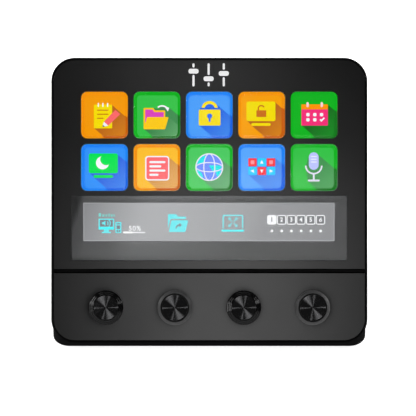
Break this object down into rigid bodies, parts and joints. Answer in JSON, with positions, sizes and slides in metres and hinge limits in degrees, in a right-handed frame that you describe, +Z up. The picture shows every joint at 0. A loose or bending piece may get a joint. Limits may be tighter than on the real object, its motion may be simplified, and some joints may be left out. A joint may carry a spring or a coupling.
{
  "type": "stream controller",
  "caption": "Sloping desktop control pad with square clear display keys, a long touch strip and push-and-turn knobs, on a wedge stand.",
  "frame": {"origin": "on the desk, under the middle of the bounding box", "axes": "+Z up, +X to the right seen from the front, -Y towards the user"},
  "size_m": [0.138, 0.1014, 0.1118],
  "materials": {
    "front_plastic": "satin black, fine texture",
    "case_plastic": "matt black, fine texture",
    "stand_plastic": "matt black, fine texture",
    "foot_rubber": "matt",
    "key_clear": "clear, polished",
    "cover_glass": "polished",
    "mask_ink": "printed border",
    "display": "lit display",
    "seal_foam": "foam",
    "membrane_rubber": "silicone",
    "board": "solder mask",
    "component": "moulded packages",
    "sheet_steel": "brushed",
    "encoder_metal": "satin plated",
    "encoder_plastic": "moulded",
    "shaft_metal": "turned",
    "flex_film": "polyimide film",
    "knob_black": "satin black",
    "knob_disc": "spun, dark",
    "screw_steel": "black finish"
  },
  "bodies": {
    "body": {"front_bezel": "front_plastic", "knob_panel": "front_plastic", "mid_frame": "case_plastic", "rear_cover": "case_plastic", "stand_shell": "stand_plastic", "base_plate": "stand_plastic", "rubber_feet": "foot_rubber", "touch_glass": "cover_glass", "glass_mask": "mask_ink", "strip_lcd": "display", "strip_gasket": "seal_foam", "strip_flex": "flex_film", "key_membrane": "membrane_rubber", "key_board": "board", "key_lcd": "display", "lcd_clamp_plate": "sheet_steel", "key_lcd_flex": "flex_film", "main_board": "board", "board_components": "component", "usb_c_port": "sheet_steel", "encoder_board": "board", "encoder_housings": "encoder_metal", "encoder_bases": "encoder_plastic", "encoder_domes": "sheet_steel", "encoder_washers": "encoder_metal", "encoder_nuts": "encoder_metal", "encoder_flex": "flex_film", "case_screws": "screw_steel", "clamp_screws": "screw_steel", "board_screws": "screw_steel", "stand_screws": "screw_steel", "base_screws": "screw_steel"},
    "key_1": {"key_1": "key_clear"},
    "key_2": {"key_2": "key_clear"},
    "key_3": {"key_3": "key_clear"},
    "key_4": {"key_4": "key_clear"},
    "key_5": {"key_5": "key_clear"},
    "key_6": {"key_6": "key_clear"},
    "key_7": {"key_7": "key_clear"},
    "key_8": {"key_8": "key_clear"},
    "key_9": {"key_9": "key_clear"},
    "key_10": {"key_10": "key_clear"},
    "plunger_1": {"encoder_plunger_1": "encoder_plastic"},
    "knob_1": {"knob_1": "knob_black", "knob_disc_1": "knob_disc", "encoder_shaft_1": "shaft_metal"},
    "plunger_2": {"encoder_plunger_2": "encoder_plastic"},
    "knob_2": {"knob_2": "knob_black", "knob_disc_2": "knob_disc", "encoder_shaft_2": "shaft_metal"},
    "plunger_3": {"encoder_plunger_3": "encoder_plastic"},
    "knob_3": {"knob_3": "knob_black", "knob_disc_3": "knob_disc", "encoder_shaft_3": "shaft_metal"},
    "plunger_4": {"encoder_plunger_4": "encoder_plastic"},
    "knob_4": {"knob_4": "knob_black", "knob_disc_4": "knob_disc", "encoder_shaft_4": "shaft_metal"}
  },
  "joints": [
    {"name": "key_1_press", "type": "slide", "parent": "body", "child": "key_1", "axis": [0, 0.7431, -0.6691], "range_m": [0, 0.0015], "stiffness_N_per_m": 300, "springref_m": -0.0015, "deforming": ["key_membrane"]},
    {"name": "key_2_press", "type": "slide", "parent": "body", "child": "key_2", "axis": [0, 0.7431, -0.6691], "range_m": [0, 0.0015], "stiffness_N_per_m": 300, "springref_m": -0.0015},
    {"name": "key_3_press", "type": "slide", "parent": "body", "child": "key_3", "axis": [0, 0.7431, -0.6691], "range_m": [0, 0.0015], "stiffness_N_per_m": 300, "springref_m": -0.0015},
    {"name": "key_4_press", "type": "slide", "parent": "body", "child": "key_4", "axis": [0, 0.7431, -0.6691], "range_m": [0, 0.0015], "stiffness_N_per_m": 300, "springref_m": -0.0015},
    {"name": "key_5_press", "type": "slide", "parent": "body", "child": "key_5", "axis": [0, 0.7431, -0.6691], "range_m": [0, 0.0015], "stiffness_N_per_m": 300, "springref_m": -0.0015},
    {"name": "key_6_press", "type": "slide", "parent": "body", "child": "key_6", "axis": [0, 0.7431, -0.6691], "range_m": [0, 0.0015], "stiffness_N_per_m": 300, "springref_m": -0.0015},
    {"name": "key_7_press", "type": "slide", "parent": "body", "child": "key_7", "axis": [0, 0.7431, -0.6691], "range_m": [0, 0.0015], "stiffness_N_per_m": 300, "springref_m": -0.0015},
    {"name": "key_8_press", "type": "slide", "parent": "body", "child": "key_8", "axis": [0, 0.7431, -0.6691], "range_m": [0, 0.0015], "stiffness_N_per_m": 300, "springref_m": -0.0015},
    {"name": "key_9_press", "type": "slide", "parent": "body", "child": "key_9", "axis": [0, 0.7431, -0.6691], "range_m": [0, 0.0015], "stiffness_N_per_m": 300, "springref_m": -0.0015},
    {"name": "key_10_press", "type": "slide", "parent": "body", "child": "key_10", "axis": [0, 0.7431, -0.6691], "range_m": [0, 0.0015], "stiffness_N_per_m": 300, "springref_m": -0.0015},
    {"name": "knob_1_push", "type": "slide", "parent": "body", "child": "plunger_1", "axis": [0, 0.7431, -0.6691], "range_m": [0, 0.0005], "stiffness_N_per_m": 1500, "springref_m": -0.0012, "deforming": ["encoder_domes"]},
    {"name": "knob_1_turn", "type": "hinge", "parent": "plunger_1", "child": "knob_1", "pos_m": [-0.04492, -0.03753, 0.03124], "axis": [0, -0.7431, 0.6691], "continuous": true},
    {"name": "knob_2_push", "type": "slide", "parent": "body", "child": "plunger_2", "axis": [0, 0.7431, -0.6691], "range_m": [0, 0.0005], "stiffness_N_per_m": 1500, "springref_m": -0.0012},
    {"name": "knob_2_turn", "type": "hinge", "parent": "plunger_2", "child": "knob_2", "pos_m": [-0.01498, -0.03753, 0.03124], "axis": [0, -0.7431, 0.6691], "continuous": true},
    {"name": "knob_3_push", "type": "slide", "parent": "body", "child": "plunger_3", "axis": [0, 0.7431, -0.6691], "range_m": [0, 0.0005], "stiffness_N_per_m": 1500, "springref_m": -0.0012},
    {"name": "knob_3_turn", "type": "hinge", "parent": "plunger_3", "child": "knob_3", "pos_m": [0.01498, -0.03753, 0.03124], "axis": [0, -0.7431, 0.6691], "continuous": true},
    {"name": "knob_4_push", "type": "slide", "parent": "body", "child": "plunger_4", "axis": [0, 0.7431, -0.6691], "range_m": [0, 0.0005], "stiffness_N_per_m": 1500, "springref_m": -0.0012},
    {"name": "knob_4_turn", "type": "hinge", "parent": "plunger_4", "child": "knob_4", "pos_m": [0.04492, -0.03753, 0.03124], "axis": [0, -0.7431, 0.6691], "continuous": true}
  ]
}
